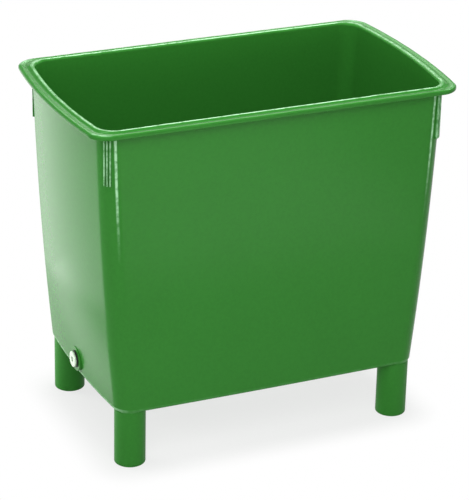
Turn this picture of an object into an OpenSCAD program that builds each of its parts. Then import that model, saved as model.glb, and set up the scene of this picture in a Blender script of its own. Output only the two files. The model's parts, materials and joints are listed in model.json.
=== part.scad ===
// Deep open tub on four round legs, with a rolled rim and a screw-out drain plug.
// The origin is on the floor below the middle of the tub. +X runs along the tub,
// -X is the drain end, -Y is the front and +Z is up. All sizes are in millimetres.

/* [Tub] */
// Length over the rim, at the middle of the bowed ends
overall_len = 890; // [800:5:1000]
// Width over the rim
overall_wid = 510; // [470:5:600]
// Height from the floor to the top of the rim
overall_ht = 807; // [600:1:1000]
// Length of the tub's base between its square corners
base_len = 722; // [660:1:760]
// Width of the tub's base between its square corners
base_wid = 460; // [420:1:466]
// Length of the tub just below the rim, between its square corners
mouth_len = 800; // [762:1:830]
// Width of the tub just below the rim
mouth_wid = 466; // [460:1:480]
// How far the end walls bow out at the base
base_end_bow = 12; // [0:1:30]
// How far the end walls bow out below the rim
mouth_end_bow = 19; // [0:1:30]
// How far the long walls bow out at the base
base_side_bow = 3; // [0:0.5:10]
// How far the end walls belly out half way up
end_belly = 6.5; // [0:0.5:15]
// Radius of the upright corners
corner_r = 36; // [25:1:60]
// Thickness of the moulded walls
wall = 5; // [3:0.5:7]
// Thickness of the floor
floor_t = 5; // [4:0.5:8]
// Outside radius along the bottom edge
edge_r = 6; // [3:0.5:12]
// Inside radius between the walls and the floor
inner_edge_r = 12; // [6:1:15]

/* [Rim] */
// Radius of the rim's corners
rim_corner_r = 38; // [30:1:70]
// How far the rim bows out at the ends
rim_end_bow = 20; // [10:1:40]
// Radius of the crest around the mouth
crest_r = 6; // [5:0.5:8]
// Radius of the bead along the outside
bead_r = 5; // [3:0.5:6]
// Radius of the groove between crest and bead
groove_r = 7; // [6:0.5:12]
// How far the bead lies below the crest
bead_drop = 2.5; // [0:0.5:6]
// Height of the rim's outer face, from the bead's top to the lip's lower edge
lip_ht = 11; // [10.5:0.5:25]
// Thickness of the rim
rim_t = 5; // [3:0.5:6]
// Radius where the rim runs into the wall below it
rim_root_r = 4; // [1:0.5:6]

/* [Nesting ribs] */
// Number of ribs on each upright corner
rib_count = 3; // [1:1:4]
// Thickness of a rib
rib_t = 3; // [2:0.5:5]
// Height of a rib below the rim
rib_len = 112; // [60:1:200]
// How far a rib stands out of the corner below the rim
rib_out = 4.5; // [2:0.5:8]
// Direction of the middle rib on the front corners, in degrees from the tub's length
front_rib_dir = 47; // [40:1:60]
// Direction of the middle rib on the rear corners, in degrees from the tub's length
rear_rib_dir = 32; // [30:1:50]
// Angle from one rib to the next
rib_step = 10; // [8:1:14]

/* [Legs] */
// Clear height below the tub
clear_ht = 136; // [110:1:180]
// Outside diameter of a leg
leg_d = 70; // [60:1:90]
// Wall of the leg tube
leg_wall = 4; // [2:0.5:6]
// How far the legs stand inside the tub's walls
leg_set_in = 1; // [0.5:0.5:10]
// How far the leg seats stand proud below the tub
seat_drop = 2; // [1:0.5:5]
// How far the leg seats stand out around the legs
seat_rim = 1; // [0.5:0.5:3]
// Height of the plug in the top of a leg
leg_plug_ht = 30; // [26:1:45]
// Thickness of the foot cap below the tube
cap_t = 5; // [4:0.5:10]
// Rounding of the foot cap's lower edge
cap_r = 3; // [1:0.5:3.5]
// Height of the foot cap's spigot inside the tube
cap_spigot_ht = 22; // [12:1:40]
// Wall of the foot cap's spigot
cap_spigot_wall = 4; // [2:0.5:6]

/* [Fixings] */
// Diameter of the leg bolts
bolt_d = 12; // [8:1:14]
// Length of the leg bolts below the head
bolt_len = 45; // [42:1:48]
// Size across the flats of bolt heads and nuts
hex_af = 19; // [17:1:22]
// Height of the bolt heads
head_ht = 7.5; // [5:0.5:10]
// Height of the nuts
nut_ht = 10; // [6:0.5:12]
// Depth of the nut pocket in the leg plug
pocket_depth = 12; // [10:0.5:14]
// Outside diameter of the washers
washer_d = 36; // [26:1:37]
// Thickness of the washers
washer_t = 2.5; // [1.5:0.5:4]
// Outside diameter of the sealing washers
seal_d = 32; // [20:1:34]
// Thickness of the sealing washers
seal_t = 3; // [2:0.5:5]

/* [Drain] */
// Height of the drain's axis above the floor
drain_z = 172; // [165:1:260]
// Diameter of the flat boss around the drain
boss_d = 57; // [54:1:64]
// How far the boss stands out of the end wall at the drain's axis
boss_out = 4.6; // [4:0.2:10]
// How far the inner pad stands into the tub at the drain's axis
pad_in = 6; // [5:0.5:12]
// Diameter of the plug's shank, over its thread
shank_d = 22; // [18:0.5:23]
// Length of the plug's shank
shank_len = 18; // [12:1:22]
// Diameter of the plug's head
plug_head_d = 36.6; // [34:0.2:38]
// Thickness of the plug's head
plug_head_t = 3.5; // [2.5:0.5:8]
// Rounding of the plug's head
plug_head_r = 1; // [0.5:0.25:1.5]
// Size across the flats of the key socket in the plug
key_af = 12; // [8:1:14]
// Depth of the key socket
key_depth = 9; // [5:1:12]
// Outside diameter of the bush's barrel
barrel_d = 31; // [30:0.5:33]
// Diameter of the bush's flange
flange_d = 38.6; // [36:0.2:42]
// Thickness of the bush's flange
flange_t = 2.5; // [2.5:0.25:5]
// How far the barrel runs past its locknut
barrel_tail = 2; // [1:0.5:6]
// Thickness of the gasket below the flange
gasket_t = 1.5; // [1:0.25:3]
// Size across the flats of the locknut
locknut_af = 42; // [39:1:46]
// Thickness of the locknut
locknut_t = 8; // [5:0.5:12]
// Thickness of the round sealing ring below the plug's head
ring_t = 2.2; // [1.6:0.1:2.3]

/* [Fits] */
// Running clearance on the radius between the plug and its bush
run_fit = 0.05; // [0.02:0.01:0.1]
// Clearance on the radius of fixed pieces that push together
push_fit = 0.1; // [0.05:0.05:0.2]
// Clearance on the radius of a bolt hole
hole_fit = 0.6; // [0.3:0.1:1]
// Gap below the plug's head
head_gap = 0.3; // [0.2:0.05:0.5]
// Gap around the sealing ring
ring_gap = 0.3; // [0.2:0.05:0.5]

/* [Hidden] */

$fn = 64;

tub_green = [0.20, 0.47, 0.18];
leg_green = [0.19, 0.45, 0.17];
plug_white = [0.93, 0.94, 0.91];
fitting_black = [0.10, 0.10, 0.10];
rubber_black = [0.06, 0.06, 0.06];
steel_grey = [0.68, 0.69, 0.70];

// Steps along a quarter corner, an end, a long side, the wall's height and a small arc
corner_steps = 6;
end_steps = 6;
side_steps = 4;
wall_steps = 8;
arc_steps = 4;

// Distance below which two points count as one
same = 0.001;

floor_z = clear_ht + floor_t;
rim_over = (overall_wid - mouth_wid) / 2;
rim_len = overall_len - 2 * rim_end_bow;
bead_top = overall_ht - bead_drop;
lip_z = bead_top - lip_ht;
lip_r = rim_t / 2;

leg_x = base_len / 2 - leg_d / 2 - leg_set_in;
leg_y = base_wid / 2 - leg_d / 2 - leg_set_in;
leg_top = clear_ht - seat_drop;
seat_sink = 0.8;
tube_r = leg_d / 2 - leg_wall;

left = -1;
right = 1;
front = -1;
rear = 1;

seal_z = floor_z;
washer_z = seal_z + seal_t;
head_z = washer_z + washer_t;
pocket_top = leg_top - leg_plug_ht + pocket_depth;
hex_chamfer = 0.12;

wall_x = half_len(drain_z) + end_bow(drain_z);
boss_x = wall_x + boss_out;
pad_x = wall_x - wall - pad_in;
boss_edge = 1;
flange_z = gasket_t;
flange_top = flange_z + flange_t;
head_under = flange_top + head_gap;
locknut_z = pad_x - boss_x - locknut_t;
bore_r = shank_d / 2 + run_fit;
barrel_r = barrel_d / 2;
ring_mid_r = shank_d / 2 + ring_gap + ring_t / 2;
seat_r = ring_mid_r + ring_t / 2 + ring_gap;
seat_depth = ring_t - head_gap + 2 * run_fit;
shank_lead = 1.5;

// Blend from a to b as t goes from 0 to 1
function mix(a, b, t) = a + (b - a) * t;

// Height on the wall, as 0 at the underside and 1 at the top of the rim
function rise(z) = (z - clear_ht) / (overall_ht - clear_ht);

// Half length, half width and bows of the outer wall at a height
function half_len(z) =
  mix(base_len, mouth_len, rise(z)) / 2 + 4 * end_belly * rise(z) * (1 - rise(z));
function half_wid(z) = mix(base_wid, mouth_wid, rise(z)) / 2;
function end_bow(z) = mix(base_end_bow, mouth_end_bow, rise(z));
function side_bow(z) = mix(base_side_bow, 0, rise(z));

// Points of an arc about a centre
function arc(c, r, from, to, steps) =
  [for (i = [0:steps]) c + r * [cos(mix(from, to, i / steps)), sin(mix(from, to, i / steps))]];

// The same points without the first, which ends the arc before it
function arc_on(c, r, from, to, steps) =
  [for (i = [1:steps]) c + r * [cos(mix(from, to, i / steps)), sin(mix(from, to, i / steps))]];

// Inner points of a straight run, without its ends
function run(a, b, steps) = [for (i = [1:steps - 1]) mix(a, b, i / steps)];

// Rounded rectangle with half sizes a and b and corner radius r, counter-clockwise
function rectangle(a, b, r) =
  let (x = a - r, y = b - r)
  concat(
    arc([x, y], r, 0, 90, corner_steps),
    run([x, b], [-x, b], side_steps),
    arc([-x, y], r, 90, 180, corner_steps),
    run([-a, y], [-a, -y], end_steps),
    arc([-x, -y], r, 180, 270, corner_steps),
    run([-x, -b], [x, -b], side_steps),
    arc([x, -y], r, 270, 360, corner_steps),
    run([a, -y], [a, y], end_steps)
  );

// The same outline with bowed ends and sides, lifted to a height
function ring(a, b, r, bow_x, bow_y, z) =
  [for (p = rectangle(a, b, r)) [
    p.x + sign(p.x) * bow_x * (1 - pow(p.y / b, 2)),
    p.y + sign(p.y) * bow_y * (1 - pow(p.x / a, 2)),
    z
  ]];

// Outline of the wall at a height, drawn in by an inset
function wall_ring(z, inset, at) =
  ring(half_len(at) - inset, half_wid(at) - inset, corner_r - inset, end_bow(at), side_bow(at), z);

// Outline around the mouth, out from the wall's outer face by a distance on the long sides
function rim_ring(p) =
  let (t = p.x / rim_over)
  ring(
    mix(mouth_len, rim_len, t) / 2,
    mix(mouth_wid, overall_wid, t) / 2,
    mix(corner_r, rim_corner_r, t),
    mix(mouth_end_bow, rim_end_bow, t),
    0,
    p.y
  );

// Centres of the crest's, the bead's and the lip's arcs
crest_c = [crest_r - wall, overall_ht - crest_r];
bead_c = [rim_over - bead_r, bead_top - bead_r];
lip_c = [rim_over - lip_r, lip_z + lip_r];

// Height of the centre of one groove arc that touches the crest's and the bead's arcs
crest_reach = crest_r + groove_r;
bead_reach = bead_r + groove_r;
span = norm(bead_c - crest_c);
span_dir = (bead_c - crest_c) / span;
along = (pow(crest_reach, 2) - pow(bead_reach, 2) + span * span) / (2 * span);
across = sqrt(max(0, pow(crest_reach, 2) - along * along));
one_arc_z = crest_c.y + along * span_dir.y + across * span_dir.x;

// A narrow groove is that one arc. A wide one has an arc on each side of a flat floor,
// level with the crest's centre
groove_z = max(one_arc_z, crest_c.y + groove_r);
groove_in = [crest_c.x + sqrt(max(0, pow(crest_reach, 2) - pow(groove_z - crest_c.y, 2))), groove_z];
groove_out = [bead_c.x - sqrt(max(0, pow(bead_reach, 2) - pow(groove_z - bead_c.y, 2))), groove_z];
crest_end = atan2(groove_in.y - crest_c.y, groove_in.x - crest_c.x);
bead_start = atan2(groove_out.y - bead_c.y, groove_out.x - bead_c.x);
under_z = groove_z - groove_r - rim_t;
root_z = under_z - rim_root_r;

// Section of the rim from the outer wall round to the inner wall
rim_section = concat(
  arc([rim_root_r, root_z], rim_root_r, 180, 90, arc_steps),
  [[rim_over - rim_t, under_z]],
  arc(lip_c, lip_r, 180, 360, arc_steps),
  arc(bead_c, bead_r, 0, bead_start, arc_steps),
  arc_on(groove_out, groove_r, bead_start + 180, 270, arc_steps / 2),
  groove_out.x > groove_in.x + same ? [groove_in - [0, groove_r]] : [],
  arc_on(groove_in, groove_r, 270, crest_end + 180, arc_steps / 2),
  arc_on(crest_c, crest_r, crest_end, 90, arc_steps / 2),
  arc_on(crest_c, crest_r, 90, 180, arc_steps)
);

// Skin of the tub from the middle of its underside, up outside, over the rim and down inside
tub_rings = concat(
  [for (i = [0:arc_steps]) let (a = 90 * (1 - i / arc_steps))
    wall_ring(clear_ht + edge_r * (1 - sin(a)), edge_r * (1 - cos(a)), clear_ht + edge_r)],
  [for (i = [1:wall_steps - 1]) let (z = mix(clear_ht + edge_r, root_z, i / wall_steps))
    wall_ring(z, 0, z)],
  [for (p = rim_section) rim_ring(p)],
  [for (i = [1:wall_steps]) let (z = mix(crest_c.y, floor_z + inner_edge_r, i / wall_steps))
    wall_ring(z, wall, z)],
  [for (i = [1:arc_steps]) let (a = 90 * i / arc_steps)
    wall_ring(
      floor_z + inner_edge_r * (1 - sin(a)),
      wall + inner_edge_r * (1 - cos(a)),
      floor_z + inner_edge_r
    )]
);

// Closed solid through a stack of rings
module loft(rings) {
  n = len(rings[0]);
  last = (len(rings) - 1) * n;
  sides = [for (j = [0:len(rings) - 2], i = [0:n - 1])
    let (a = j * n + i, b = j * n + (i + 1) % n, c = b + n, d = a + n)
    each [[a, c, b], [a, d, c]]];
  polyhedron(
    points = [for (r = rings) each r],
    faces = concat([[for (i = [0:n - 1]) i]], sides, [[for (i = [n - 1:-1:0]) last + i]])
  );
}

// Children at the four legs
module at_legs() {
  for (sx = [left, right], sy = [front, rear])
    translate([sx * leg_x, sy * leg_y, 0])
      children();
}

// Children on the drain's axis, with their +Z out of the tub and z = 0 on the boss
module at_drain() {
  translate([-boss_x, 0, drain_z])
    rotate([0, -90, 0])
      children();
}

// Upright ribs on one corner, on which a second tub would stop when nested
module corner_ribs(dir) {
  inside = corner_r - wall / 2;
  for (i = [0:rib_count - 1])
    rotate(dir + rib_step * (i - (rib_count - 1) / 2))
      translate([inside, -rib_t / 2, root_z - rib_len])
        cube([corner_r + rib_out - inside, rib_t, rib_len]);
}

module ribs() {
  for (sx = [0, 1], sy = [0, 1])
    mirror([sx, 0, 0])
      mirror([0, sy, 0])
        translate([mouth_len / 2 - corner_r, mouth_wid / 2 - corner_r, 0])
          corner_ribs(sy == 0 ? rear_rib_dir : front_rib_dir);
}

// Round boss that gives the drain two flat faces in the leaning wall
module drain_boss() {
  at_drain()
    rotate_extrude()
      polygon([
        [0, pad_x - boss_x],
        [boss_d / 2, pad_x - boss_x],
        [boss_d / 2, -boss_edge],
        [boss_d / 2 - boss_edge, 0],
        [0, 0]
      ]);
}

module tub_shell() {
  color(tub_green)
    difference() {
      union() {
        loft(tub_rings);
        ribs();
        drain_boss();
        at_legs()
          translate([0, 0, leg_top])
            cylinder(h = seat_drop + floor_t * seat_sink, r = leg_d / 2 + seat_rim);
      }
      at_legs()
        translate([0, 0, leg_top - floor_t])
          cylinder(h = seat_drop + 3 * floor_t, r = bolt_d / 2 + hole_fit);
      at_drain()
        translate([0, 0, pad_x - boss_x - wall])
          cylinder(h = boss_x - pad_x + 2 * wall, r = barrel_r + push_fit);
    }
}

module leg(sx, sy) {
  color(leg_green)
    translate([sx * leg_x, sy * leg_y, cap_t])
      difference() {
        cylinder(h = leg_top - cap_t, d = leg_d);
        translate([0, 0, -cap_t])
          cylinder(h = leg_top + cap_t, r = tube_r);
      }
}

// Prism across flats, with both ends chamfered
module hexagon(af, h) {
  r = af / sqrt(3);
  drop = hex_chamfer * af / 2;
  intersection() {
    cylinder(h = h, r = r, $fn = 6);
    rotate_extrude()
      polygon([[0, 0], [af / 2, 0], [r, drop], [r, h - drop], [af / 2, h], [0, h]]);
  }
}

module leg_plug(sx, sy) {
  color(fitting_black)
    translate([sx * leg_x, sy * leg_y, leg_top - leg_plug_ht])
      difference() {
        cylinder(h = leg_plug_ht, r = tube_r - push_fit);
        translate([0, 0, -leg_plug_ht])
          cylinder(h = 3 * leg_plug_ht, r = bolt_d / 2 + hole_fit);
        translate([0, 0, -pocket_depth])
          cylinder(h = 2 * pocket_depth, r = (hex_af + hole_fit) / sqrt(3), $fn = 6);
      }
}

module foot_cap(sx, sy) {
  spigot_r = tube_r - push_fit;
  color(leg_green)
    translate([sx * leg_x, sy * leg_y, 0])
      rotate_extrude()
        polygon(concat(
          [[0, 0]],
          arc([leg_d / 2 - cap_r, cap_r], cap_r, 270, 360, arc_steps),
          [
            [leg_d / 2, cap_t],
            [spigot_r, cap_t],
            [spigot_r, cap_t + cap_spigot_ht],
            [spigot_r - cap_spigot_wall, cap_t + cap_spigot_ht],
            [spigot_r - cap_spigot_wall, cap_t],
            [0, cap_t]
          ]
        ));
}

module leg_nuts() {
  color(steel_grey)
    at_legs()
      translate([0, 0, pocket_top - nut_ht])
        difference() {
          hexagon(hex_af, nut_ht);
          translate([0, 0, -nut_ht])
            cylinder(h = 3 * nut_ht, r = bolt_d / 2 + run_fit);
        }
}

module leg_bolts() {
  color(steel_grey)
    at_legs()
      translate([0, 0, head_z]) {
        hexagon(hex_af, head_ht);
        translate([0, 0, -bolt_len])
          cylinder(h = bolt_len + head_ht / 2, d = bolt_d);
      }
}

// Flat ring around a bolt
module bolt_ring(d, hole_r, h) {
  difference() {
    cylinder(h = h, d = d);
    translate([0, 0, -h])
      cylinder(h = 3 * h, r = hole_r);
  }
}

module bolt_washers() {
  color(steel_grey)
    at_legs()
      translate([0, 0, washer_z])
        bolt_ring(washer_d, bolt_d / 2 + hole_fit, washer_t);
}

module bolt_seals() {
  color(rubber_black)
    at_legs()
      translate([0, 0, seal_z])
        bolt_ring(seal_d, bolt_d / 2 + push_fit, seal_t);
}

module drain_bush() {
  tail_z = locknut_z - barrel_tail;
  color(fitting_black)
    at_drain()
      difference() {
        union() {
          translate([0, 0, flange_z])
            cylinder(h = flange_t, d = flange_d);
          translate([0, 0, tail_z])
            cylinder(h = flange_top - tail_z, r = barrel_r);
        }
        translate([0, 0, tail_z - barrel_tail])
          cylinder(h = flange_top - tail_z + 2 * barrel_tail, r = bore_r);
        translate([0, 0, flange_top - seat_depth])
          cylinder(h = seat_depth + flange_t, r = seat_r);
      }
}

module drain_gasket() {
  color(rubber_black)
    at_drain()
      bolt_ring(flange_d, barrel_r + push_fit, gasket_t);
}

module drain_locknut() {
  color(fitting_black)
    at_drain()
      translate([0, 0, locknut_z])
        difference() {
          hexagon(locknut_af, locknut_t);
          translate([0, 0, -locknut_t])
            cylinder(h = 3 * locknut_t, r = barrel_r + run_fit);
        }
}

module drain_plug() {
  head_top = head_under + plug_head_t;
  shank_end = head_under - shank_len;
  color(plug_white)
    at_drain()
      difference() {
        rotate_extrude()
          polygon(concat(
            [
              [0, shank_end],
              [shank_d / 2 - shank_lead, shank_end],
              [shank_d / 2, shank_end + shank_lead],
              [shank_d / 2, head_under],
              [plug_head_d / 2, head_under]
            ],
            arc([plug_head_d / 2 - plug_head_r, head_top - plug_head_r], plug_head_r, 0, 90, arc_steps),
            [[0, head_top]]
          ));
        translate([0, 0, head_top - key_depth])
          cylinder(h = 2 * key_depth, r = key_af / sqrt(3), $fn = 6);
      }
}

module plug_seal() {
  color(rubber_black)
    at_drain()
      translate([0, 0, flange_top - seat_depth + run_fit + ring_t / 2])
        rotate_extrude()
          translate([ring_mid_r, 0])
            circle(d = ring_t, $fn = 32);
}

tub_shell();
leg(left, front);  // leg_front_left
leg(right, front);  // leg_front_right
leg(left, rear);  // leg_rear_left
leg(right, rear);  // leg_rear_right
leg_plug(left, front);  // leg_plug_front_left
leg_plug(right, front);  // leg_plug_front_right
leg_plug(left, rear);  // leg_plug_rear_left
leg_plug(right, rear);  // leg_plug_rear_right
foot_cap(left, front);  // foot_cap_front_left
foot_cap(right, front);  // foot_cap_front_right
foot_cap(left, rear);  // foot_cap_rear_left
foot_cap(right, rear);  // foot_cap_rear_right
leg_nuts();
leg_bolts();
bolt_washers();
bolt_seals();
drain_bush();
drain_gasket();
drain_locknut();
drain_plug();
plug_seal();
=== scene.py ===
"""A deep green tub on four tube legs, with a rolled rim, nesting ribs and a screw-out drain plug."""

import json
import math

import bmesh
import bpy
from mathutils import Matrix, Vector, noise


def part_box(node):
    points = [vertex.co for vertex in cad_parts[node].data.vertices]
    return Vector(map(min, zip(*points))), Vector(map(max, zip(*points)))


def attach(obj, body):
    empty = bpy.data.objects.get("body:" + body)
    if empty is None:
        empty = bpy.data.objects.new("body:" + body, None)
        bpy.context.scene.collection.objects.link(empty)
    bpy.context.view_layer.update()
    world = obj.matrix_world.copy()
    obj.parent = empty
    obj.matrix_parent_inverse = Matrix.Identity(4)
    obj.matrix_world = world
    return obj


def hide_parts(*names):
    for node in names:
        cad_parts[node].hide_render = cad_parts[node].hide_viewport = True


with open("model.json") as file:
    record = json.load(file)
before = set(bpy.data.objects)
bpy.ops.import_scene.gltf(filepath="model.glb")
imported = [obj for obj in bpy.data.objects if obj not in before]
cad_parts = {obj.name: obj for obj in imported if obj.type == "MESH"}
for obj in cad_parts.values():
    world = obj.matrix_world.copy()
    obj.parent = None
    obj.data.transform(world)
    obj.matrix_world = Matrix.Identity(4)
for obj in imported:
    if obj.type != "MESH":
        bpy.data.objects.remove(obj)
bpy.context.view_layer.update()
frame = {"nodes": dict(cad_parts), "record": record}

# Sizes that the frame gives, in metres
SHELL_LO, SHELL_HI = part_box("tub_shell")
TOP = SHELL_HI.z
SEAT_Z = SHELL_LO.z
CORNERS = ("front_left", "front_right", "rear_left", "rear_right")

# Walls and floor of the tub
CLEAR_HT = 0.136
BASE_LEN = 0.722
BASE_WID = 0.460
MOUTH_LEN = 0.800
MOUTH_WID = 0.466
BASE_END_BOW = 0.012
MOUTH_END_BOW = 0.019
BASE_SIDE_BOW = 0.003
END_BELLY = 0.0065
CORNER_R = 0.036
WALL = 0.005
FLOOR_Z = CLEAR_HT + 0.005
EDGE_R = 0.006
INNER_EDGE_R = 0.012

# Rolled rim
RIM_CORNER_R = 0.038
RIM_END_BOW = 0.020
RIM_OVER = SHELL_HI.y - MOUTH_WID / 2
RIM_LEN = 2 * (SHELL_HI.x - RIM_END_BOW)
CREST_R = 0.006
BEAD_R = 0.005
GROOVE_R = 0.007
BEAD_TOP = TOP - 0.0025
LIP_Z = BEAD_TOP - 0.011
RIM_T = 0.005
RIM_ROOT_R = 0.004

# Unevenness that moulding leaves along the rim, and how often it comes in a metre
RIPPLE = 0.0004
RIPPLE_RATE = 45
RIPPLE_SEED = 4

# Nesting ribs on the upright corners
RIB_T = 0.003
RIB_LEN = 0.112
RIB_OUT = 0.0045
RIB_EDGE = 0.0008
RIB_EDGE_STEPS = 3
RIB_STEP = math.radians(10)
FRONT_RIB_DIR = math.radians(47)
REAR_RIB_DIR = math.radians(32)

# Attribute for painted light: above 0 a painted highlight on crests and edges, partly real rubbing, below 0
# painted shade in the rim's groove
WEAR_AND_PAINTED_LIGHT = "wear_and_painted_light"
# Painted highlight along the ribs' outer edges
RIB_HIGHLIGHT = 0.75
# Rim: painted highlight on its crest and painted shade in its groove, the share of both kept on its ends,
# and painted highlight on the tops of its corners; the highlights stand partly for real rubbing
CREST_WEAR_AND_HIGHLIGHT = 1.4
CREST_BAND = 0.0005
GROOVE_PAINTED_SHADE = -0.7
GROOVE_BAND = 0.0013
RIM_END_PAINT_SHARE = 0.32
RIM_CORNER_WEAR_AND_HIGHLIGHT = 0.7
RIM_CORNER_BAND = 0.0008
# Painted highlight along the lower edge of the walls, stronger on the ends, with its heights above the
# underside
END_EDGE_HIGHLIGHT = 0.45
SIDE_EDGE_HIGHLIGHT = 0.06
EDGE_BAND = (0.001, 0.008)
EDGE_FADE = 0.001
# Painted highlight line down the upper part of each upright corner, at an angle from the tub's length, with
# the height that it starts at and the height over which it grows
UPRIGHT_HIGHLIGHT = 1.5
UPRIGHT_AT = math.radians(73)
UPRIGHT_REACH = math.radians(2.5)
UPRIGHT_FROM = 0.52
UPRIGHT_FADE = 0.22

# Legs
LEG_WALL = 0.004
LEG_EDGE = 0.0006
SEAT_EDGE = 0.0005
# Top of the leg seats, within the tub's floor
SEAT_TOP = FLOOR_Z - 0.001

# Drain
DRAIN_Z = 0.172
BOSS_R = 0.0285
BOSS_EDGE = 0.001
BORE_R = 0.0156
BARREL_R = 0.0155
FLANGE_T = 0.0025
RING_SEAT_R = 0.0138
RING_SEAT_DEPTH = 0.002
BUSH_EDGE = 0.0004
HEAD_T = 0.0035
HEAD_ROUND = 0.001
# Angle in degrees at which the head's rounded edge runs into its dome
HEAD_ROUND_TO = 80
HEAD_DOME = 0.0003
# Share of the dome's height at half its radius
DOME_HALFWAY = 0.75
KEY_AF = 0.012
KEY_DEPTH = 0.009
SHANK_LEAD = 0.0015

# Screw thread of the plug and its bush
THREAD_PITCH = 0.004
THREAD_ROOT_R = 0.0098
THREAD_TIP_R = 0.0110
THREAD_ROOT_HALF = 0.0014
THREAD_TIP_HALF = 0.0006
THREAD_ROOM = 0.0002
THREAD_STEPS = 48
# Whole turns by which the bush's groove starts below the plug's ridge
GROOVE_TURNS = 3

# Steps along the tub's outline and its section
CORNER_STEPS = 24
SIDE_STEPS = 96
END_STEPS = 56
WALL_STEPS = 20
ARC_STEPS = 8
CREST_STEPS = 12
ROUND_STEPS = 96
# Points nearer than this are one point
SAME_PLACE = 1e-6

# Camera fitted to the photograph, in metres, degrees and pixels
IMAGE_LONG_SIDE = 500
FOCAL_PIXELS = 2343.68
SENSOR = 36
CAMERA_AT = Vector((-1.9978, -4.4412, 2.5743))
CAMERA_YAW = math.radians(24.283)
CAMERA_PITCH = math.radians(24.268)
CAMERA_ROLL = math.radians(1.354)
CAMERA_REACH = 100


def mix(a, b, t):
    """Value at a share of the way from a to b."""
    return a + (b - a) * t


# Node helpers

def node(tree, kind, links=(), **values):
    """Add a node, set its properties and input values, and link named inputs to other sockets."""
    made = tree.nodes.new("ShaderNode" + kind)
    for name, value in values.items():
        setattr(made, name, value)
    for name, value in dict(links).items():
        socket = made.inputs[name]
        if isinstance(value, bpy.types.NodeSocket):
            tree.links.new(value, socket)
        else:
            socket.default_value = value
    return made


def math_node(tree, operation, a, b=0.0, c=0.0, clamp=False):
    """Result of a calculation with values or sockets."""
    return node(tree, "Math", {0: a, 1: b, 2: c}, operation=operation, use_clamp=clamp).outputs[0]


def new_group(name, inputs, outputs):
    """A shader node group with named sockets, and its input and output nodes."""
    tree = bpy.data.node_groups.new(name, "ShaderNodeTree")
    for label, kind, default in inputs:
        socket = tree.interface.new_socket(label, in_out="INPUT", socket_type="NodeSocket" + kind)
        socket.default_value = default
    for label, kind in outputs:
        tree.interface.new_socket(label, in_out="OUTPUT", socket_type="NodeSocket" + kind)
    return tree, tree.nodes.new("NodeGroupInput").outputs, tree.nodes.new("NodeGroupOutput").inputs


def shifted(tree, texture, amount):
    """A texture's value about zero, times an amount."""
    centred = math_node(tree, "SUBTRACT", texture.outputs["Fac"], 0.5)
    return math_node(tree, "MULTIPLY", centred, amount)


# Heights of a moulded surface's grain, waves and mottles, as shares of its bump
GRAIN_HEIGHT = 0.12
WAVE_HEIGHT = 0.5
MOTTLE_HEIGHT = 0.12
BUMP_STRENGTH = 0.6
# How far mottles shift the roughness, and how much duller scuffed places, places with a painted highlight
# and places with painted shade are
MOTTLE_DULLING = 0.16
SCUFF_DULLING = 0.2
RUB_AND_HIGHLIGHT_DULLING = 0.1
PAINTED_SHADE_DULLING = 0.5


def moulded_finish():
    """Colour, roughness and height of a moulded surface: slow clouds, small mottles and a fine grain."""
    tree, given, out = new_group(
        "moulded_finish",
        [
            ("Colour", "Color", (0.5, 0.5, 0.5, 1)),
            ("Clouds", "Float", 0.1),
            ("Mottle", "Float", 0.1),
            ("Roughness", "Float", 0.4),
            ("Grain", "Float", 1.0),
        ],
        [("Colour", "Color"), ("Roughness", "Float"), ("Height", "Float")],
    )
    place = node(tree, "TexCoord").outputs["Object"]
    clouds = node(tree, "TexNoise", {"Vector": place, "Scale": 7.0, "Detail": 3.0, "Roughness": 0.5})
    mottle = node(tree, "TexNoise", {"Vector": place, "Scale": 140.0, "Detail": 4.0, "Roughness": 0.6})
    grain = node(tree, "TexNoise", {"Vector": place, "Scale": 900.0, "Detail": 2.0, "Roughness": 0.5})
    wave = node(tree, "TexNoise", {"Vector": place, "Scale": 24.0, "Detail": 1.0, "Roughness": 0.5})

    shift = math_node(
        tree, "ADD", shifted(tree, clouds, given["Clouds"]), shifted(tree, mottle, given["Mottle"]),
    )
    value = math_node(tree, "ADD", 1.0, shift)
    shaded = node(tree, "HueSaturation", {"Color": given["Colour"], "Value": value})
    tree.links.new(shaded.outputs["Color"], out["Colour"])

    rough = math_node(tree, "ADD", given["Roughness"], shifted(tree, mottle, MOTTLE_DULLING), clamp=True)
    tree.links.new(rough, out["Roughness"])

    fine = math_node(tree, "MULTIPLY", shifted(tree, grain, GRAIN_HEIGHT), given["Grain"])
    relief = math_node(
        tree, "ADD", shifted(tree, wave, WAVE_HEIGHT), shifted(tree, mottle, MOTTLE_HEIGHT),
    )
    tree.links.new(math_node(tree, "ADD", fine, relief), out["Height"])
    return tree


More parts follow.
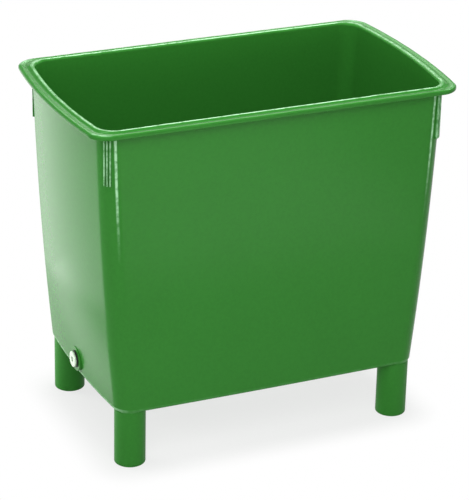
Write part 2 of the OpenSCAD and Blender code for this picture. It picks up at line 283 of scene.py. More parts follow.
def scuffed_band():
    """Lighter, duller scuffs that build up between two heights of a piece."""
    tree, given, out = new_group(
        "scuffed_band",
        [
            ("Colour", "Color", (0.5, 0.5, 0.5, 1)),
            ("Roughness", "Float", 0.4),
            ("Scuffed Colour", "Color", (0.6, 0.6, 0.6, 1)),
            ("From", "Float", 0.0),
            ("To", "Float", 1.0),
            ("Amount", "Float", 0.5),
        ],
        [("Colour", "Color"), ("Roughness", "Float")],
    )
    place = node(tree, "TexCoord").outputs["Object"]
    height = node(tree, "SeparateXYZ", {"Vector": place}).outputs["Z"]
    band = node(tree, "MapRange", {"Value": height, "From Min": given["From"], "From Max": given["To"]})
    streaks = node(tree, "TexNoise", {"Vector": place, "Scale": 90.0, "Detail": 5.0, "Roughness": 0.65})
    spots = node(tree, "MapRange", {"Value": streaks.outputs["Fac"], "From Min": 0.5, "From Max": 0.7})
    mask = math_node(tree, "MULTIPLY", band.outputs["Result"], spots.outputs["Result"])
    share = math_node(tree, "MULTIPLY", mask, given["Amount"])
    colour = node(tree, "Mix", {
        "Factor": share, "A": given["Colour"], "B": given["Scuffed Colour"],
    }, data_type="RGBA")
    tree.links.new(colour.outputs["Result"], out["Colour"])
    duller = math_node(tree, "MULTIPLY", share, SCUFF_DULLING)
    rough = math_node(tree, "ADD", given["Roughness"], duller)
    tree.links.new(rough, out["Roughness"])
    return tree


def painted_light_and_wear_edges():
    """Painted highlight, partly real rubbing: paler, duller streaks where the piece's attribute is above 0;
    darker, duller painted shade below 0.
    """
    tree, given, out = new_group(
        "painted_light_and_wear_edges",
        [
            ("Colour", "Color", (0.5, 0.5, 0.5, 1)),
            ("Roughness", "Float", 0.4),
            ("Rubbed And Highlight Colour", "Color", (0.6, 0.6, 0.6, 1)),
            ("Painted Shade Colour", "Color", (0.2, 0.2, 0.2, 1)),
        ],
        [("Colour", "Color"), ("Roughness", "Float")],
    )
    wear_and_painted_light = node(tree, "Attribute", attribute_name=WEAR_AND_PAINTED_LIGHT).outputs["Fac"]
    place = node(tree, "TexCoord").outputs["Object"]
    streaks = node(tree, "TexNoise", {"Vector": place, "Scale": 60.0, "Detail": 4.0, "Roughness": 0.6})
    patches = node(tree, "MapRange", {
        "Value": streaks.outputs["Fac"],
        "From Min": 0.38, "From Max": 0.6, "To Min": 0.25, "To Max": 1.1,
    }).outputs["Result"]
    rub_and_highlight = math_node(tree, "MULTIPLY", wear_and_painted_light, patches, clamp=True)
    painted_shade = math_node(tree, "MULTIPLY", wear_and_painted_light, -1.0, clamp=True)
    paler = node(tree, "Mix", {
        "Factor": rub_and_highlight, "A": given["Colour"], "B": given["Rubbed And Highlight Colour"],
    }, data_type="RGBA")
    darker = node(tree, "Mix", {
        "Factor": painted_shade, "A": paler.outputs["Result"], "B": given["Painted Shade Colour"],
    }, data_type="RGBA")
    tree.links.new(darker.outputs["Result"], out["Colour"])
    duller = math_node(tree, "MULTIPLY_ADD", rub_and_highlight, RUB_AND_HIGHLIGHT_DULLING, given["Roughness"])
    dullest = math_node(tree, "MULTIPLY_ADD", painted_shade, PAINTED_SHADE_DULLING, duller)
    tree.links.new(dullest, out["Roughness"])
    return tree


MOULDED_FINISH = moulded_finish()
SCUFFED_BAND = scuffed_band()
PAINTED_LIGHT_AND_WEAR_EDGES = painted_light_and_wear_edges()


def new_material(name):
    """A material, its node tree and the shader of its surface."""
    material = bpy.data.materials.new(name)
    material.use_nodes = True
    tree = material.node_tree
    return material, tree, tree.nodes["Principled BSDF"]


def moulded_material(
    name, colour, clouds, mottle, roughness, grain, bump, ior, scuffs=None, wear_and_painted_light=None,
):
    """A moulded plastic with mottled colour and fine grain, and any scuffs, painted highlights and painted
    shade it has.
    """
    material, tree, shader = new_material(name)
    finish = node(tree, "Group", {
        "Colour": (*colour, 1), "Clouds": clouds, "Mottle": mottle, "Roughness": roughness, "Grain": grain,
    }, node_tree=MOULDED_FINISH)
    colour_out, rough_out = finish.outputs["Colour"], finish.outputs["Roughness"]
    for group, values in ((SCUFFED_BAND, scuffs), (PAINTED_LIGHT_AND_WEAR_EDGES, wear_and_painted_light)):
        if values:
            used = node(tree, "Group", {
                "Colour": colour_out, "Roughness": rough_out, **values,
            }, node_tree=group)
            colour_out, rough_out = used.outputs["Colour"], used.outputs["Roughness"]
    relief = node(tree, "Bump", {
        "Height": finish.outputs["Height"], "Strength": BUMP_STRENGTH, "Distance": bump,
    })
    tree.links.new(colour_out, shader.inputs["Base Color"])
    tree.links.new(rough_out, shader.inputs["Roughness"])
    tree.links.new(relief.outputs["Normal"], shader.inputs["Normal"])
    shader.inputs["IOR"].default_value = ior
    return material


# How much bluer than grey the plating is
ZINC_BLUE = 1.04


def zinc_material(name):
    """Zinc plated steel: pale grey spangles and fine turning marks."""
    material, tree, shader = new_material(name)
    place = node(tree, "TexCoord").outputs["Object"]
    spangle = node(tree, "TexVoronoi", {"Vector": place, "Scale": 420.0})
    marks = node(tree, "TexNoise", {"Vector": place, "Scale": 1500.0, "Detail": 2.0})
    tone = node(tree, "MapRange", {"Value": spangle.outputs["Distance"], "To Min": 0.42, "To Max": 0.66})
    colour = node(tree, "CombineColor", {
        "Red": tone.outputs["Result"], "Green": tone.outputs["Result"],
        "Blue": math_node(tree, "MULTIPLY", tone.outputs["Result"], ZINC_BLUE),
    })
    rough = node(tree, "MapRange", {"Value": marks.outputs["Fac"], "To Min": 0.24, "To Max": 0.46})
    relief = node(tree, "Bump", {"Height": marks.outputs["Fac"], "Strength": 0.3, "Distance": 0.0002})
    tree.links.new(colour.outputs["Color"], shader.inputs["Base Color"])
    tree.links.new(rough.outputs["Result"], shader.inputs["Roughness"])
    tree.links.new(relief.outputs["Normal"], shader.inputs["Normal"])
    shader.inputs["Metallic"].default_value = 1.0
    return material


GREEN = (0.029, 0.187, 0.023)
SCUFFED_GREEN = (0.10, 0.34, 0.09)
# Paler green of the painted highlights on crests, rim corners, ribs and edges, partly real rubbing
RUBBED_AND_HIGHLIGHT_GREEN = (0.34, 0.64, 0.36)
# Darker green of the painted shade in the rim's groove
PAINTED_SHADE_GREEN = (0.008, 0.045, 0.008)
GREENISH_WHITE = (0.57, 0.69, 0.54)
MOULDED_BLACK = (0.012, 0.012, 0.012)
SEAL_BLACK = (0.018, 0.018, 0.018)
# How far scuffs reach down from the rim's top and up from the floor
RIM_SCUFF_HT = 0.008
FOOT_SCUFF_HT = 0.03

TUB_GREEN = moulded_material(
    "tub_green", GREEN, clouds=0.08, mottle=0.25, roughness=0.22, grain=1.0, bump=0.0002, ior=1.2,
    scuffs={"Scuffed Colour": (*SCUFFED_GREEN, 1), "From": TOP - RIM_SCUFF_HT, "To": TOP, "Amount": 0.15},
    wear_and_painted_light={"Rubbed And Highlight Colour": (*RUBBED_AND_HIGHLIGHT_GREEN, 1), "Painted Shade Colour": (*PAINTED_SHADE_GREEN, 1)},
)
LEG_GREEN = moulded_material(
    "leg_green", GREEN, clouds=0.08, mottle=0.25, roughness=0.42, grain=1.0, bump=0.0002, ior=1.2,
    scuffs={"Scuffed Colour": (*SCUFFED_GREEN, 1), "From": FOOT_SCUFF_HT, "To": 0.0, "Amount": 0.12},
)
PLUG_WHITE = moulded_material(
    "plug_white", GREENISH_WHITE, clouds=0.05, mottle=0.06, roughness=0.28, grain=0.5, bump=0.0001, ior=1.5,
)
FITTING_BLACK = moulded_material(
    "fitting_black", MOULDED_BLACK, clouds=0.3, mottle=0.5, roughness=0.45, grain=1.0, bump=0.0002, ior=1.5,
)
RUBBER_BLACK = moulded_material(
    "rubber_black", SEAL_BLACK, clouds=0.4, mottle=0.6, roughness=0.75, grain=1.5, bump=0.0003, ior=1.5,
)
ZINC_STEEL = zinc_material("zinc_steel")

FINISHES = {
    "tub_green": TUB_GREEN, "leg_green": LEG_GREEN, "plug_white": PLUG_WHITE,
    "fitting_black": FITTING_BLACK, "rubber_black": RUBBER_BLACK, "zinc_steel": ZINC_STEEL,
}


def dress_frame():
    """Give every carried-over node the finish of its slot."""
    for part in frame["record"]["subparts"]:
        mesh = frame["nodes"][part["node"]].data
        mesh.materials.clear()
        mesh.materials.append(FINISHES[part["material_slot"]])


# Mesh helpers

def set_smooth(bm, sharp_angle=math.radians(32)):
    """Shade faces smooth and keep the edges that turn by more than an angle sharp."""
    for face in bm.faces:
        face.smooth = True
    for edge in bm.edges:
        edge.smooth = len(edge.link_faces) == 2 and edge.calc_face_angle(0.0) < sharp_angle


def add_piece(name, bm, body, slot, *nodes):
    """Turn a bmesh into a piece that rides on a body and stands for nodes, with the finish of a slot."""
    set_smooth(bm)
    mesh = bpy.data.meshes.new(name)
    bm.to_mesh(mesh)
    bm.free()
    piece = bpy.data.objects.new(name, mesh)
    bpy.context.scene.collection.objects.link(piece)
    mesh.materials.append(FINISHES[slot])
    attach(piece, body)
    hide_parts(*nodes)


def cut_or_join(bm, tool, operation):
    """Boolean of two bmeshes. Both are freed, and the result is a new one."""
    objects = []
    for label, source in (("base", bm), ("tool", tool)):
        mesh = bpy.data.meshes.new(label)
        source.to_mesh(mesh)
        source.free()
        made = bpy.data.objects.new(label, mesh)
        bpy.context.scene.collection.objects.link(made)
        objects.append(made)
    base, tool_object = objects
    boolean = base.modifiers.new("boolean", "BOOLEAN")
    boolean.operation = operation
    boolean.solver = "EXACT"
    boolean.object = tool_object
    graph = bpy.context.evaluated_depsgraph_get()
    result = bmesh.new()
    result.from_mesh(base.evaluated_get(graph).to_mesh())
    for made in objects:
        mesh = made.data
        bpy.data.objects.remove(made)
        bpy.data.meshes.remove(mesh)
    return result


def lathe(bm, profile, place=Matrix.Identity(4), steps=ROUND_STEPS):
    """Spin a profile of (radius, height) points about Z into bm, then put it in its place."""
    before = set(bm.verts)
    line = [bm.verts.new((r, 0, h)) for r, h in profile]
    edges = [bm.edges.new(pair) for pair in zip(line, line[1:])]
    bmesh.ops.spin(
        bm, geom=line + edges, cent=(0, 0, 0), axis=(0, 0, 1), angle=2 * math.pi, steps=steps,
        use_merge=True,
    )
    made = [v for v in bm.verts if v not in before]
    bmesh.ops.remove_doubles(bm, verts=made, dist=SAME_PLACE)
    made = [v for v in bm.verts if v not in before]
    bmesh.ops.transform(bm, matrix=place, verts=made)
    bmesh.ops.recalc_face_normals(bm, faces=list({f for v in made for f in v.link_faces}))


def arc(centre, radius, start, end, steps):
    """Points of an arc about a centre, angles in degrees."""
    angles = [math.radians(mix(start, end, i / steps)) for i in range(steps + 1)]
    return [(centre[0] + radius * math.cos(a), centre[1] + radius * math.sin(a)) for a in angles]


# Tub

def rise(z):
    """Share of the tub's height that a height has reached, from 0 at its underside to 1 at its rim."""
    return (z - CLEAR_HT) / (TOP - CLEAR_HT)


def half_len(z):
    """Half the tub's length at a height, with the belly of its ends, which is fullest halfway up."""
    return mix(BASE_LEN, MOUTH_LEN, rise(z)) / 2 + 4 * END_BELLY * rise(z) * (1 - rise(z))


def half_wid(z):
    """Half the tub's width at a height."""
    return mix(BASE_WID, MOUTH_WID, rise(z)) / 2


def outline(a, b, r, end_bow, side_bow, z):
    """Rounded rectangle with bowed ends and sides at a height, counter-clockwise."""
    x, y = a - r, b - r
    flat = []
    for cx, cy, start, run_end, steps in (
        (x, y, 0, (-x, b), SIDE_STEPS), (-x, y, 90, (-a, -y), END_STEPS),
        (-x, -y, 180, (x, -b), SIDE_STEPS), (x, -y, 270, (a, y), END_STEPS),
    ):
        corner = arc((cx, cy), r, start, start + 90, CORNER_STEPS)
        flat += corner
        flat += [
            (mix(corner[-1][0], run_end[0], i / steps), mix(corner[-1][1], run_end[1], i / steps))
            for i in range(1, steps)
        ]
    return [Vector((
        px + math.copysign(end_bow * (1 - (py / b) ** 2), px),
        py + math.copysign(side_bow * (1 - (px / a) ** 2), py),
        z,
    )) for px, py in flat]


def wall_outline(z, inset, at):
    """Outline drawn at height z, set in from the walls' outer skin at height at."""
    t = rise(at)
    return outline(
        half_len(at) - inset, half_wid(at) - inset, CORNER_R - inset,
        mix(BASE_END_BOW, MOUTH_END_BOW, t), mix(BASE_SIDE_BOW, 0, t), z,
    )


def rim_outline(out, z):
    """Outline drawn at height z, as far out from the mouth as a point of the rim's section."""
    t = out / RIM_OVER
    return outline(
        mix(MOUTH_LEN, RIM_LEN, t) / 2, mix(MOUTH_WID, 2 * SHELL_HI.y, t) / 2,
        mix(CORNER_R, RIM_CORNER_R, t), mix(MOUTH_END_BOW, RIM_END_BOW, t), 0, z,
    )


def groove_centre(crest, bead):
    """Centre of the groove's arc, which touches the crest's and the bead's arcs."""
    near, far = CREST_R + GROOVE_R, BEAD_R + GROOVE_R
    span = bead - crest
    along = (near ** 2 - far ** 2 + span.length_squared) / (2 * span.length)
    across = math.sqrt(near ** 2 - along ** 2)
    unit = span.normalized()
    return crest + along * unit + across * Vector((-unit.y, unit.x))


CREST_C = Vector((CREST_R - WALL, TOP - CREST_R))
BEAD_C = Vector((RIM_OVER - BEAD_R, BEAD_TOP - BEAD_R))
GROOVE_C = groove_centre(CREST_C, BEAD_C)
RIM_UNDER = GROOVE_C.y - GROOVE_R - RIM_T
ROOT_Z = RIM_UNDER - RIM_ROOT_R


def rim_section():
    """Points of the rim's section, out from the wall and up, from the outer wall round to the inner one."""
    to_groove = GROOVE_C - CREST_C
    crest_end = math.degrees(math.atan2(to_groove.y, to_groove.x))
    to_groove = GROOVE_C - BEAD_C
    bead_start = math.degrees(math.atan2(to_groove.y, to_groove.x))
    lip = (RIM_OVER - RIM_T / 2, LIP_Z + RIM_T / 2)
    return (
        arc((RIM_ROOT_R, ROOT_Z), RIM_ROOT_R, 180, 90, ARC_STEPS)
        + [(RIM_OVER - RIM_T, RIM_UNDER)]
        + arc(lip, RIM_T / 2, 180, 360, ARC_STEPS)
        + arc(BEAD_C, BEAD_R, 0, bead_start, ARC_STEPS)
        + arc(GROOVE_C, GROOVE_R, bead_start + 180, crest_end + 180, ARC_STEPS)[1:]
        + arc(CREST_C, CREST_R, crest_end, 180, CREST_STEPS)[1:]
    )


def rim_highlight_and_shade(out, z):
    """Painted light at a point of the rim's section: a painted highlight on its crest, partly real rubbing,
    and painted shade in its groove.
    """
    if z > TOP - CREST_BAND:
        return CREST_WEAR_AND_HIGHLIGHT
    if abs(out - GROOVE_C.x) < GROOVE_BAND and RIM_UNDER < z < GROOVE_C.y:
        return GROOVE_PAINTED_SHADE
    return 0.0


def tub_outlines():
    """Outlines of the tub's skin, from the underside over the rim to the floor, and the painted highlight
    and shade along them.
    """
    quarter = [math.radians(90 * i / ARC_STEPS) for i in range(ARC_STEPS + 1)]
    low, floor_edge = CLEAR_HT + EDGE_R, FLOOR_Z + INNER_EDGE_R
    rings = [wall_outline(low - EDGE_R * math.cos(a), EDGE_R * (1 - math.sin(a)), low) for a in quarter]
    for z in (CLEAR_HT + EDGE_BAND[1], CLEAR_HT + EDGE_BAND[1] + EDGE_FADE):
        rings.append(wall_outline(z, 0, z))
    for i in range(1, WALL_STEPS):
        z = mix(low, ROOT_Z, i / WALL_STEPS)
        rings.append(wall_outline(z, 0, z))
    painted_light_by_ring = {}
    noise.seed_set(RIPPLE_SEED)
    for out, z in rim_section():
        painted_light_by_ring[len(rings)] = rim_highlight_and_shade(out, z)
        rings.append([p + RIPPLE * noise.noise_vector(p * RIPPLE_RATE) for p in rim_outline(out, z)])
    for i in range(1, WALL_STEPS + 1):
        z = mix(CREST_C.y, floor_edge, i / WALL_STEPS)
        rings.append(wall_outline(z, WALL, z))
    rings += [
        wall_outline(
            floor_edge - INNER_EDGE_R * math.sin(a), WALL + INNER_EDGE_R * (1 - math.cos(a)), floor_edge,
        ) for a in quarter[1:]
    ]
    return rings, painted_light_by_ring


def extrude_ring(bm, ring, points):
    """Extrude a closed ring of vertices and set the new ring on its own outline."""
    edges = [bm.edges.get(pair) for pair in zip(ring, ring[1:] + ring[:1])]
    made = bmesh.ops.extrude_edge_only(bm, edges=edges)["geom"]
    fresh = {v for v in made if isinstance(v, bmesh.types.BMVert)}
    following = []
    for vert, point in zip(ring, points):
        above = next(e.other_vert(vert) for e in vert.link_edges if e.other_vert(vert) in fresh)
        following.append(above)
        above.co = point
    return following


def loft(outlines, painted_light_by_ring):
    """Closed skin through a stack of outlines with as many points each, marked with the painted highlight
    and shade of some.
    """
    bm = bmesh.new()
    wear_and_painted_light = bm.verts.layers.float.new(WEAR_AND_PAINTED_LIGHT)
    ring = bmesh.ops.create_circle(bm, segments=len(outlines[0]), radius=1.0)["verts"]
    for vert, point in zip(ring, outlines[0]):
        vert.co = point
    bmesh.ops.contextual_create(bm, geom=ring)
    for i, points in enumerate(outlines[1:], start=1):
        ring = extrude_ring(bm, ring, points)
        for vert in ring:
            vert[wear_and_painted_light] = painted_light_by_ring.get(i, 0.0)
    bmesh.ops.contextual_create(bm, geom=ring)
    bmesh.ops.recalc_face_normals(bm, faces=bm.faces)
    return bm


def leg_places():
    """Middle of each leg on the floor, by corner."""
    places = {}
    for corner in CORNERS:
        lo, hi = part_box("leg_" + corner)
        places[corner] = Vector(((lo.x + hi.x) / 2, (lo.y + hi.y) / 2, 0))
    return places


LEG_PLACES = leg_places()
LEG_R = (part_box("leg_front_left")[1].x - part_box("leg_front_left")[0].x) / 2
BOSS_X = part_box("drain_gasket")[1].x
PAD_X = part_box("drain_locknut")[0].x

# Drain's axis: local Z points out of the tub, from the boss's face
AT_DRAIN = Matrix.Translation((BOSS_X, 0, DRAIN_Z)) @ Matrix.Rotation(-math.pi / 2, 4, "Y")


def drain_span(name):
    """Lowest and highest place of a node along the drain's axis, and its radius."""
    lo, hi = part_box(name)
    return BOSS_X - hi.x, BOSS_X - lo.x, (hi.y - lo.y) / 2


def rib_places():
    """Frames of the ribs: each at its corner's upright axis, with local X pointing out along the rib."""
    places = []
    for sx in (-1, 1):
        for sy, direction in ((-1, FRONT_RIB_DIR), (1, REAR_RIB_DIR)):
            centre = Vector((sx * (MOUTH_LEN / 2 - CORNER_R), sy * (MOUTH_WID / 2 - CORNER_R), 0))
            for step in (-1, 0, 1):
                angle = direction + step * RIB_STEP
                turn = math.atan2(sy * math.sin(angle), sx * math.cos(angle))
                places.append(Matrix.Translation(centre) @ Matrix.Rotation(turn, 4, "Z"))
    return places


def add_rib(bm, place):
    """One upright rib with rounded edges."""
    inside = CORNER_R - WALL / 2
    made = bmesh.ops.create_cube(bm, size=1.0)["verts"]
    size = Matrix.Diagonal((CORNER_R + RIB_OUT - inside, RIB_T, RIB_LEN, 1))
    middle = Matrix.Translation(((CORNER_R + RIB_OUT + inside) / 2, 0, ROOT_Z - RIB_LEN / 2))
    bmesh.ops.transform(bm, matrix=middle @ size, verts=made)
    edges = list({e for v in made for e in v.link_edges})
    rounded = bmesh.ops.bevel(
        bm, geom=edges, offset=RIB_EDGE, affect="EDGES", segments=RIB_EDGE_STEPS, profile=0.5,
        material=-1,
    )["verts"]
    bmesh.ops.transform(bm, matrix=place, verts=rounded)


def tub_additions():
    """Ribs, drain boss and leg seats that the shell is moulded with."""
    bm = bmesh.new()
    for place in rib_places():
        add_rib(bm, place)
    depth = BOSS_X - PAD_X
    lathe(bm, [
        (0, depth), (BOSS_R, depth), (BOSS_R, -BOSS_EDGE), (BOSS_R - BOSS_EDGE, 0), (0, 0),
    ], AT_DRAIN)
    for place in LEG_PLACES.values():
        lathe(bm, [
            (0, SEAT_Z), (LEG_R - SEAT_EDGE, SEAT_Z), (LEG_R, SEAT_Z + SEAT_EDGE),
            (LEG_R, SEAT_TOP), (0, SEAT_TOP),
        ], Matrix.Translation(place))
    return bm


def tub_cuts():
    """The drain's bore."""
    bm = bmesh.new()
    depth = BOSS_X - PAD_X
    lathe(bm, [(0, depth - WALL), (BORE_R, depth - WALL), (BORE_R, WALL), (0, WALL)], AT_DRAIN)
    return bm


def past(place, edge, radius):
    """Share of a corner's radius that a place has gone into the corner, from 0 to 1 at the edge."""
    return min(max((place - edge) / radius + 1, 0), 1)


def upright_highlight(x, y, z):
    """Painted highlight at a point of the walls from the line down each upright corner."""
    into = Vector((x - half_len(z) + CORNER_R, y - half_wid(z) + CORNER_R))
    on_skin = min(into) > 0 and into.length > CORNER_R - WALL / 2
    if not on_skin or abs(math.atan2(into.y, into.x) - UPRIGHT_AT) > UPRIGHT_REACH:
        return 0.0
    return UPRIGHT_HIGHLIGHT * min(max((z - UPRIGHT_FROM) / UPRIGHT_FADE, 0), 1)


def mark_walls(bm, wear_and_painted_light):
    """Ease the painted highlight and shade along the rim's ends, and paint highlights on its corners,
    partly real rubbing, on the walls' lower edge and on their upright corners.
    """
    for vert in bm.verts:
        x, y, z = abs(vert.co.x), abs(vert.co.y), vert.co.z
        on_boss = vert.co.x < 0 and math.hypot(y, z - DRAIN_Z) < BOSS_R + BOSS_EDGE
        if x > MOUTH_LEN / 2 - CORNER_R:
            vert[wear_and_painted_light] *= RIM_END_PAINT_SHARE
        if z > BEAD_TOP - RIM_CORNER_BAND:
            # Along a corner's arc the product rises from 0 to a half and falls again
            round_corner = past(x, RIM_LEN / 2, RIM_CORNER_R) * past(y, SHELL_HI.y, RIM_CORNER_R)
            vert[wear_and_painted_light] = max(vert[wear_and_painted_light], 2 * round_corner * RIM_CORNER_WEAR_AND_HIGHLIGHT)
        elif EDGE_BAND[0] < z - CLEAR_HT < EDGE_BAND[1] + EDGE_FADE / 2 and not on_boss:
            vert[wear_and_painted_light] = mix(SIDE_EDGE_HIGHLIGHT, END_EDGE_HIGHLIGHT, past(x, BASE_LEN / 2, CORNER_R) ** 2)
        elif z < ROOT_Z:
            vert[wear_and_painted_light] = upright_highlight(x, y, z)


def mark_ribs(bm, wear_and_painted_light):
    """Paint a highlight on the outer edges of the ribs."""
    crest = CORNER_R + RIB_OUT - RIB_EDGE
    for place in rib_places():
        to_rib = place.inverted()
        for vert in bm.verts:
            at = to_rib @ vert.co
            if at.x > crest and abs(at.y) < RIB_T / 2 and ROOT_Z - RIB_LEN < at.z < ROOT_Z:
                vert[wear_and_painted_light] = RIB_HIGHLIGHT


def build_tub():
    """One moulding with its ribs, boss and seats, marked with painted highlights, partly real rubbing, and
    painted shade.
    """
    bm = cut_or_join(loft(*tub_outlines()), tub_additions(), "UNION")
    bm = cut_or_join(bm, tub_cuts(), "DIFFERENCE")
    wear_and_painted_light = bm.verts.layers.float[WEAR_AND_PAINTED_LIGHT]
    mark_walls(bm, wear_and_painted_light)
    mark_ribs(bm, wear_and_painted_light)
    add_piece("tub", bm, "tub", "tub_green", "tub_shell")


def build_legs():
    """Tubes with eased ends, one at each corner."""
    for corner, place in LEG_PLACES.items():
        lo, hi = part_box("leg_" + corner)
        inner = LEG_R - LEG_WALL
        bm = bmesh.new()
        eased = LEG_R - LEG_EDGE
        lathe(bm, [
            (eased, lo.z), (LEG_R, lo.z + LEG_EDGE), (LEG_R, hi.z - LEG_EDGE), (eased, hi.z),
            (inner, hi.z), (inner, lo.z), (eased, lo.z),
        ], Matrix.Translation(place))
        add_piece("leg_tube_" + corner, bm, "tub", "leg_green", "leg_" + corner)


# Drain fittings

def thread_ridge(low, high, room=0.0):
    """Right-hand helical ridge between two heights, as a bmesh. Room makes it larger all round."""
    bm = bmesh.new()
    start = low + THREAD_ROOT_HALF
    section = [bm.verts.new((r, 0, start + dz)) for r, dz in (
        (THREAD_ROOT_R - THREAD_ROOM, -THREAD_ROOT_HALF - room),
        (THREAD_TIP_R + room, -THREAD_TIP_HALF - room),
        (THREAD_TIP_R + room, THREAD_TIP_HALF + room),
        (THREAD_ROOT_R - THREAD_ROOM, THREAD_ROOT_HALF + room),
    )]
    edges = [bm.edges.new(pair) for pair in zip(section, section[1:] + section[:1])]
    turns = (high - low - 2 * THREAD_ROOT_HALF) / THREAD_PITCH
    steps = round(turns * THREAD_STEPS)
    last = bmesh.ops.spin(
        bm, geom=section + edges, cent=(0, 0, 0), axis=(0, 0, 1), angle=turns * 2 * math.pi, steps=steps,
        dvec=(0, 0, turns * THREAD_PITCH / steps),
    )["geom_last"]
    bmesh.ops.contextual_create(bm, geom=section)
    bmesh.ops.contextual_create(bm, geom=[v for v in last if isinstance(v, bmesh.types.BMVert)])
    bmesh.ops.recalc_face_normals(bm, faces=bm.faces)
    return bm


def build_plug():
    """White screw plug: a domed head with a hexagon socket, on a threaded shank."""
    end, face, head_r = drain_span("drain_plug")
    under = face - HEAD_T
    edge = face - HEAD_DOME
    bm = bmesh.new()
    lathe(bm, [
        (0, end), (THREAD_ROOT_R - SHANK_LEAD, end), (THREAD_ROOT_R, end + SHANK_LEAD),
        (THREAD_ROOT_R, under), (head_r, under),
        *arc((head_r - HEAD_ROUND, edge - HEAD_ROUND), HEAD_ROUND, 0, HEAD_ROUND_TO, ARC_STEPS),
        (head_r / 2, mix(edge, face, DOME_HALFWAY)), (0, face),
    ])
    bm = cut_or_join(bm, thread_ridge(end + SHANK_LEAD / 2, under - SHANK_LEAD), "UNION")
    socket = bmesh.new()
    bmesh.ops.create_cone(
        socket, cap_ends=True, segments=6, radius1=KEY_AF / math.sqrt(3), radius2=KEY_AF / math.sqrt(3),
        depth=2 * KEY_DEPTH, matrix=Matrix.Translation((0, 0, face)),
    )
    bm = cut_or_join(bm, socket, "DIFFERENCE")
    bmesh.ops.transform(bm, matrix=AT_DRAIN, verts=bm.verts)
    add_piece("screw_plug", bm, "plug", "plug_white", "drain_plug")


def build_bush():
    """Black bush with a flange, a seat for the sealing ring and a thread for the plug."""
    tail, top, flange_r = drain_span("drain_bush")
    low = top - FLANGE_T
    seat = top - RING_SEAT_DEPTH
    bore = THREAD_ROOT_R + THREAD_ROOM
    bm = bmesh.new()
    lathe(bm, [
        (bore, tail), (BARREL_R - BUSH_EDGE, tail), (BARREL_R, tail + BUSH_EDGE), (BARREL_R, low),
        (flange_r, low), (flange_r, top - BUSH_EDGE), (flange_r - BUSH_EDGE, top),
        (RING_SEAT_R + BUSH_EDGE, top), (RING_SEAT_R, top - BUSH_EDGE), (RING_SEAT_R, seat),
        (bore, seat), (bore, tail),
    ])
    groove_low = drain_span("drain_plug")[0] + SHANK_LEAD / 2 - GROOVE_TURNS * THREAD_PITCH
    groove = thread_ridge(groove_low, seat + THREAD_PITCH, THREAD_ROOM)
    bm = cut_or_join(bm, groove, "DIFFERENCE")
    bmesh.ops.transform(bm, matrix=AT_DRAIN, verts=bm.verts)
    add_piece("threaded_bush", bm, "tub", "fitting_black", "drain_bush")


# Stage

FLOOR_HALF = 30.0
FLOOR_GREY = (0.72, 0.72, 0.72)
WHITE = (1, 1, 1, 1)
# The floor shows its shadow in a rectangle below the tub, and runs out to white around it
SHADOW_HALF = (0.33, 0.2, 0)
SHADOW_WHITE_SHARE = 0.74
SHADOW_FADE_FROM = 0.02
SHADOW_FADE_TO = 0.12
# The surround is white up to one height above the horizon and dimmer from another one on
WHITE_UP_TO = math.sin(math.radians(6))
DIM_FROM = math.sin(math.radians(18))
DIM_SURROUND = 0.3
# Name, place, aim, size and radiance of each light
SOFTBOXES = (
    ("overhead_softbox", (-0.9, -1.9, 2.35), (0, 0, 0.6), (1.6, 1.6), 5.2),
    ("top_softbox", (0.3, 0.3, 2.9), (0, 0, 0.6), (1.2, 1.2), 14),
    ("front_softbox", (-1.5, -2.8, 1.0), (0, 0, 0.4), (1.6, 0.8), 2),
    ("low_softbox", (-1.9, 1.7, 0.45), (-0.4, 0, 0.45), (1.2, 0.7), 19),
)
CARDS = (
    ("end_card", (-0.62, 0.53, 0.31), (0.23, 0, 0.31), (0.75, 0.6), 1.17),
    ("end_floor_card", (-0.54, 0.4, 0.004), (-0.54, 0.401, 1), (0.14, 0.8), 0.9),
    ("front_card", (0.45, -1.6, 0.03), (0.45, -1.59, 1), (0.9, 1.0), 1.6),
    ("rim_card", (1.2, 1.5, 2.7), (0, 0, 0.8), (2.4, 0.8), 9),
    ("right_card", (1.1, 2.5, 2.2), (0.43, 0, 0.8), (1.2, 1.0), 2.8),
    ("back_card", (0, 2.5, 2.4), (0, 0, 0.8), (1.1, 0.5), 6),
)


def seen_rays(tree):
    """1 for rays that show a surface to the camera, straight, mirrored or through glass, else 0."""
    path = node(tree, "LightPath").outputs
    mirrored = math_node(tree, "MAXIMUM", path["Is Glossy Ray"], path["Is Transmission Ray"])
    return math_node(tree, "MAXIMUM", path["Is Camera Ray"], mirrored)


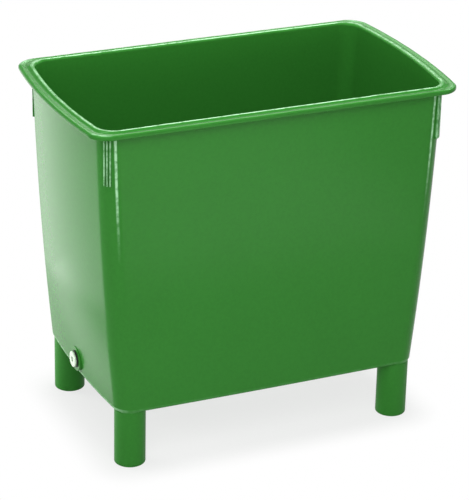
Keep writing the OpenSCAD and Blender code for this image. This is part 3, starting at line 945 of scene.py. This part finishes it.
def build_floor():
    """Plain pale floor that keeps the shadow near the tub and runs out to white."""
    bm = bmesh.new()
    bmesh.ops.create_grid(bm, x_segments=1, y_segments=1, size=FLOOR_HALF)
    mesh = bpy.data.meshes.new("floor")
    bm.to_mesh(mesh)
    bm.free()
    floor = bpy.data.objects.new("floor", mesh)
    bpy.context.scene.collection.objects.link(floor)
    material, tree, shader = new_material("pale_floor")
    shader.inputs["Base Color"].default_value = (*FLOOR_GREY, 1)
    shader.inputs["Roughness"].default_value = 0.9
    shader.inputs["Specular IOR Level"].default_value = 0.0
    white = node(tree, "Emission", {"Color": WHITE, "Strength": 1.0})
    place = node(tree, "TexCoord").outputs["Object"]
    either_way = node(tree, "VectorMath", {0: place}, operation="ABSOLUTE").outputs[0]
    beyond = node(tree, "VectorMath", {0: either_way, 1: SHADOW_HALF}, operation="SUBTRACT").outputs[0]
    outside = node(tree, "VectorMath", {0: beyond, 1: (0, 0, 0)}, operation="MAXIMUM").outputs[0]
    distance = node(tree, "VectorMath", {0: outside}, operation="LENGTH").outputs["Value"]
    whiteness = node(tree, "MapRange", {
        "Value": distance, "From Min": SHADOW_FADE_FROM, "From Max": SHADOW_FADE_TO,
        "To Min": SHADOW_WHITE_SHARE, "To Max": 1.0,
    }, interpolation_type="SMOOTHSTEP")
    share = math_node(tree, "MULTIPLY", seen_rays(tree), whiteness.outputs["Result"])
    blend = node(tree, "MixShader", {0: share, 1: shader.outputs[0], 2: white.outputs[0]})
    tree.links.new(blend.outputs[0], tree.nodes["Material Output"].inputs["Surface"])
    mesh.materials.append(material)


def build_world():
    """White surround at the horizon that dims upwards."""
    world = bpy.data.worlds.new("studio")
    bpy.context.scene.world = world
    world.use_nodes = True
    tree = world.node_tree
    background = tree.nodes["Background"]
    background.inputs["Color"].default_value = WHITE
    ray = node(tree, "TexCoord").outputs["Generated"]
    strength = node(tree, "MapRange", {
        "Value": node(tree, "SeparateXYZ", {"Vector": ray}).outputs["Z"],
        "From Min": WHITE_UP_TO, "From Max": DIM_FROM, "To Min": 1.0, "To Max": DIM_SURROUND,
    }, interpolation_type="SMOOTHSTEP")
    tree.links.new(strength.outputs["Result"], background.inputs["Strength"])


def add_light(name, at, towards, size, radiance, shades=True, shines=True):
    """Soft rectangular light, out of the picture itself, that shades surfaces, shines on them or both."""
    lamp = bpy.data.lights.new(name, "AREA")
    lamp.shape = "RECTANGLE"
    lamp.size, lamp.size_y = size
    lamp.energy = radiance * math.pi * size[0] * size[1]
    light = bpy.data.objects.new(name, lamp)
    bpy.context.scene.collection.objects.link(light)
    light.location = at
    light.rotation_euler = (Vector(towards) - Vector(at)).to_track_quat("-Z", "Y").to_euler()
    light.visible_camera = False
    light.visible_diffuse = shades
    light.visible_glossy = shines


def build_lights():
    """Softboxes that shade the tub, and cards that give its end, rim and front their gloss."""
    for softbox in SOFTBOXES:
        add_light(*softbox, shines=False)
    for card in CARDS:
        add_light(*card, shades=False)


def build_camera():
    """Camera at the photograph's viewing angle."""
    cos_pitch = math.cos(CAMERA_PITCH)
    ahead = Vector((
        math.sin(CAMERA_YAW) * cos_pitch, math.cos(CAMERA_YAW) * cos_pitch, -math.sin(CAMERA_PITCH),
    ))
    level = Vector((math.cos(CAMERA_YAW), -math.sin(CAMERA_YAW), 0))
    upright = level.cross(ahead)
    right = math.cos(CAMERA_ROLL) * level + math.sin(CAMERA_ROLL) * upright
    up = right.cross(ahead)
    lens = bpy.data.cameras.new("camera")
    lens.sensor_width = SENSOR
    lens.lens = FOCAL_PIXELS / IMAGE_LONG_SIDE * SENSOR
    lens.clip_end = CAMERA_REACH
    camera = bpy.data.objects.new("camera", lens)
    bpy.context.scene.collection.objects.link(camera)
    turn = Matrix((right, up, -ahead)).transposed().to_4x4()
    camera.matrix_world = Matrix.Translation(CAMERA_AT) @ turn
    bpy.context.scene.camera = camera


dress_frame()
build_tub()
build_legs()
build_plug()
build_bush()
build_floor()
build_world()
build_lights()
build_camera()

bpy.context.scene.view_settings.view_transform = "Standard"
